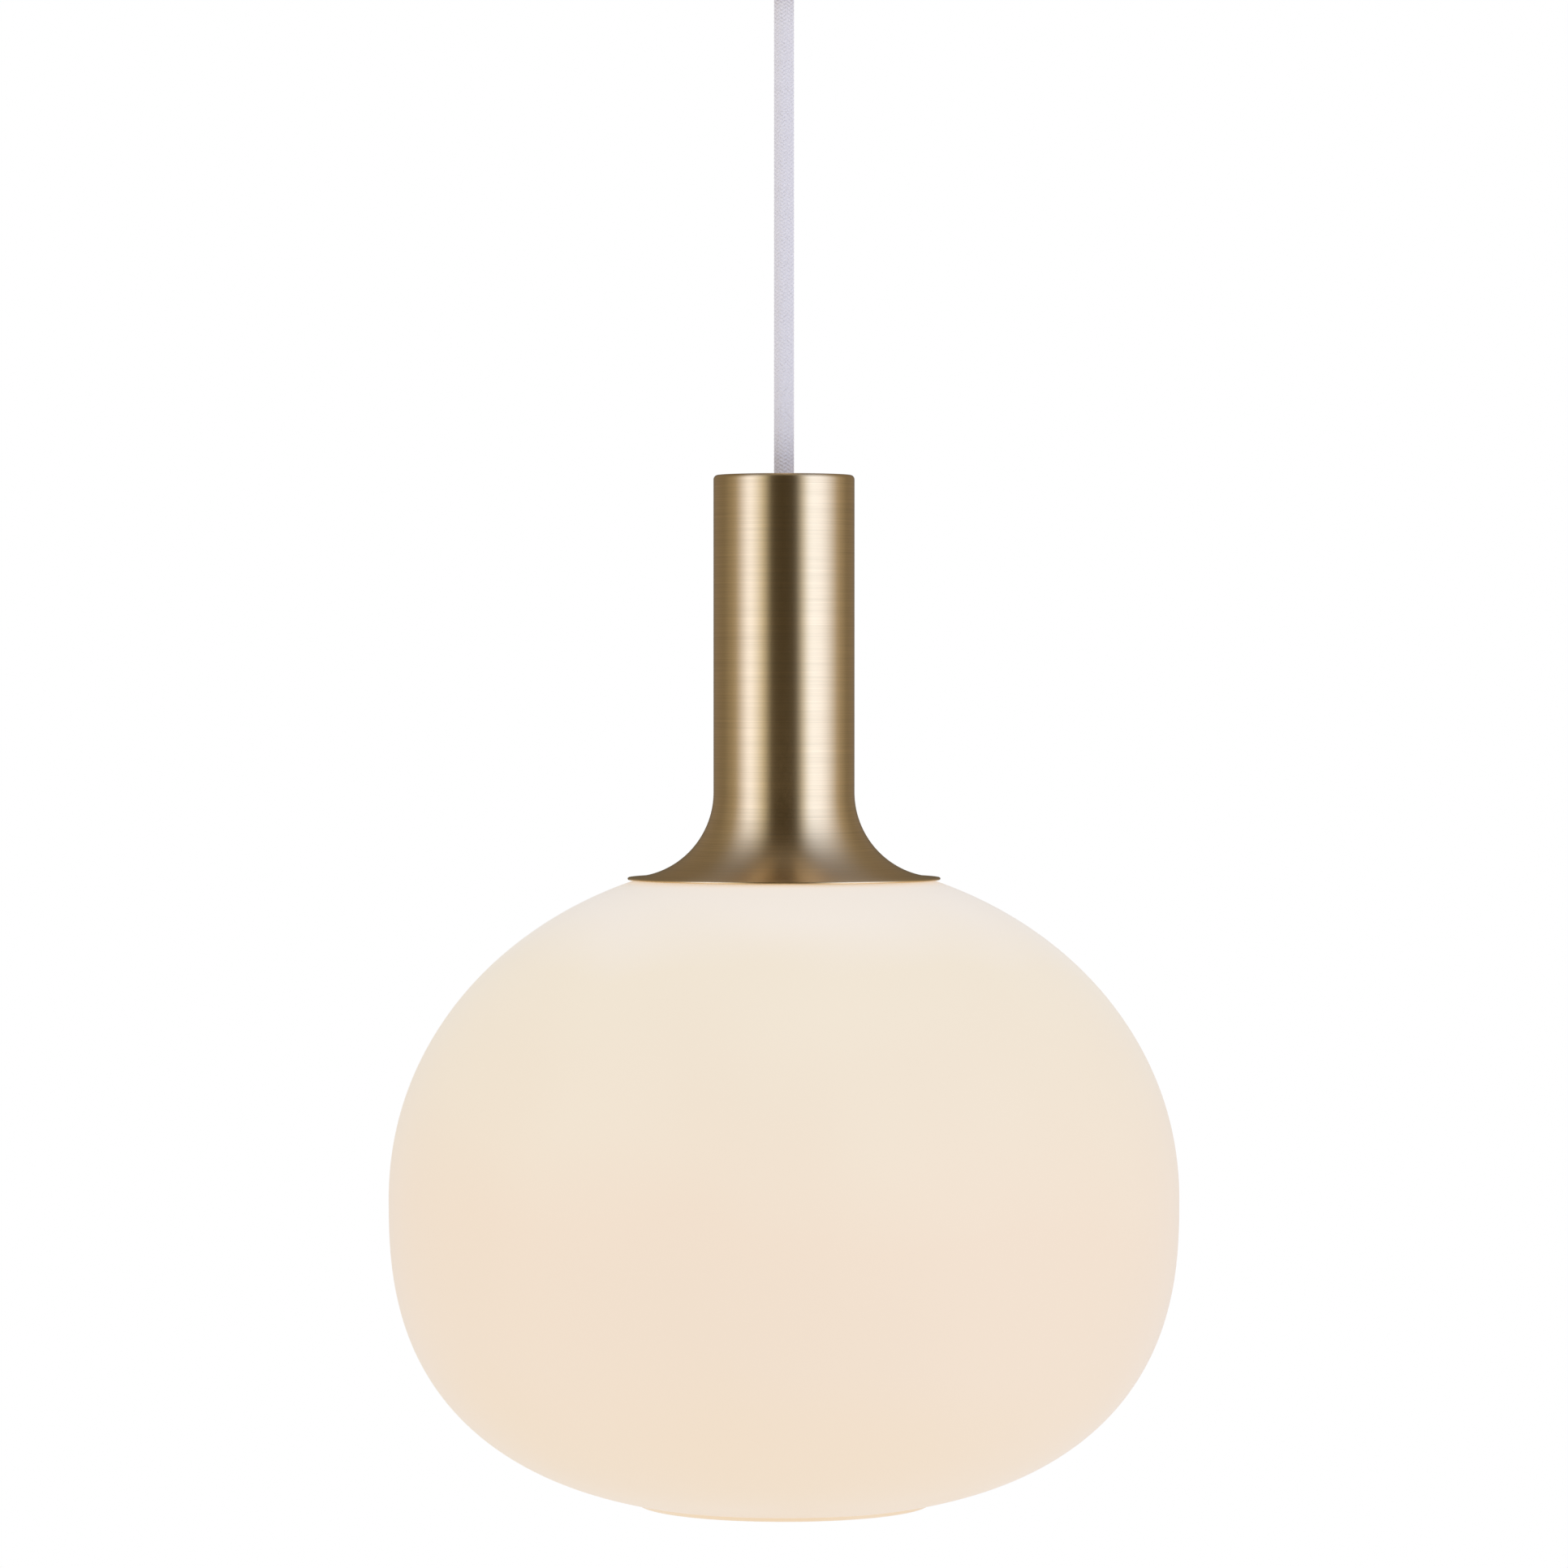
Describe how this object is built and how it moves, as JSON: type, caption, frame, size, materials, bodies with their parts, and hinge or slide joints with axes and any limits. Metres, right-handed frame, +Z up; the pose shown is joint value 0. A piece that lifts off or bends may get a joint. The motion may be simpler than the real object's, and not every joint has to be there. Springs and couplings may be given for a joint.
{
  "type": "pendant ceiling light",
  "caption": "Pendant light: an opal glass globe shade, flattened and open below, under a flared brushed brass cap on a white textile cord from a round canopy.",
  "frame": {"origin": "middle of the ceiling bracket's top face, on the ceiling plane", "axes": "+Z up out of the ceiling, +X along the ceiling bracket through its two slots, -Y towards the viewer of the picture"},
  "size_m": [0.25, 0.25, 0.5259],
  "materials": {
    "galvanised_steel": "zinc plated, dull",
    "white_paint": "fine satin powder coat",
    "terminal_plastic": "moulded, matt",
    "contact_brass": "plain stamped",
    "brushed_brass": "brushed round the axis, satin lacquer",
    "live_insulation": "smooth extruded",
    "neutral_insulation": "smooth extruded",
    "textile": "braided textile, herringbone",
    "clear_nylon": "translucent nylon",
    "holder_plastic": "moulded thermoplastic, satin",
    "porcelain": "glazed",
    "silicone": "soft, translucent white",
    "opal_glass": "triplex opal glass, satin, evenly lit from inside",
    "bulb_diffuser": "frosted opal, lit",
    "bulb_plastic": "satin moulded",
    "nickel_plate": "nickel plated",
    "black_glass": "vitrite, black and glossy",
    "circuit_board": "green solder mask",
    "white_board": "white solder mask",
    "led_phosphor": "yellow phosphor"
  },
  "bodies": {
    "ceiling": {"ceiling_bracket": "galvanised_steel", "canopy_cup": "white_paint", "canopy_side_screws": "white_paint", "terminal_housing": "terminal_plastic", "terminal_sleeves": "contact_brass", "terminal_screws": "galvanised_steel", "terminal_fixing_screw": "galvanised_steel", "canopy_live_wire": "live_insulation", "canopy_neutral_wire": "neutral_insulation", "cord_grip": "brushed_brass", "cord_grip_nut": "galvanised_steel", "cord_grip_screw": "galvanised_steel", "cord_top": "textile"},
    "cord_bend": {"cord_neck": "textile"},
    "cord_drop": {"cord": "textile"},
    "lamp": {"cord_tail": "textile", "brass_cap": "brushed_brass", "cap_entry_bush": "clear_nylon", "cap_boss": "brushed_brass", "threaded_tube": "galvanised_steel", "lock_nut": "galvanised_steel", "holder_dome": "holder_plastic", "dome_locking_screw": "galvanised_steel", "cord_clamp": "terminal_plastic", "cord_clamp_screws": "galvanised_steel", "holder_live_wire": "live_insulation", "holder_neutral_wire": "neutral_insulation", "holder_insert": "porcelain", "holder_live_terminal": "contact_brass", "holder_neutral_terminal": "contact_brass", "holder_terminal_screws": "galvanised_steel", "centre_contact": "contact_brass", "screw_shell": "contact_brass", "holder_skirt": "holder_plastic", "upper_gasket": "silicone", "glass_shade": "opal_glass", "lower_gasket": "silicone", "shade_ring": "holder_plastic"},
    "bulb": {"bulb_globe": "bulb_diffuser", "bulb_housing": "bulb_plastic", "bulb_cap": "nickel_plate", "bulb_insulator": "black_glass", "bulb_tip": "nickel_plate", "led_board": "white_board", "led_chips": "led_phosphor", "led_driver": "circuit_board"}
  },
  "joints": [
    {"name": "swing_side", "type": "hinge", "parent": "ceiling", "child": "cord_bend", "pos_m": [0, 0, -0.041], "axis": [0, 1, 0], "range_deg": [-25, 25]},
    {"name": "swing_front", "type": "hinge", "parent": "cord_bend", "child": "cord_drop", "pos_m": [0, 0, -0.045], "axis": [1, 0, 0], "range_deg": [-25, 25]},
    {"name": "lamp_twist", "type": "hinge", "parent": "cord_drop", "child": "lamp", "pos_m": [0, 0, -0.2], "axis": [0, 0, 1], "range_deg": [-180, 180], "stiffness_Nm_per_rad": 0.01},
    {"name": "bulb_out", "type": "slide", "parent": "lamp", "child": "bulb", "axis": [0, 0, -1], "range_m": [0, 0.23]}
  ]
}
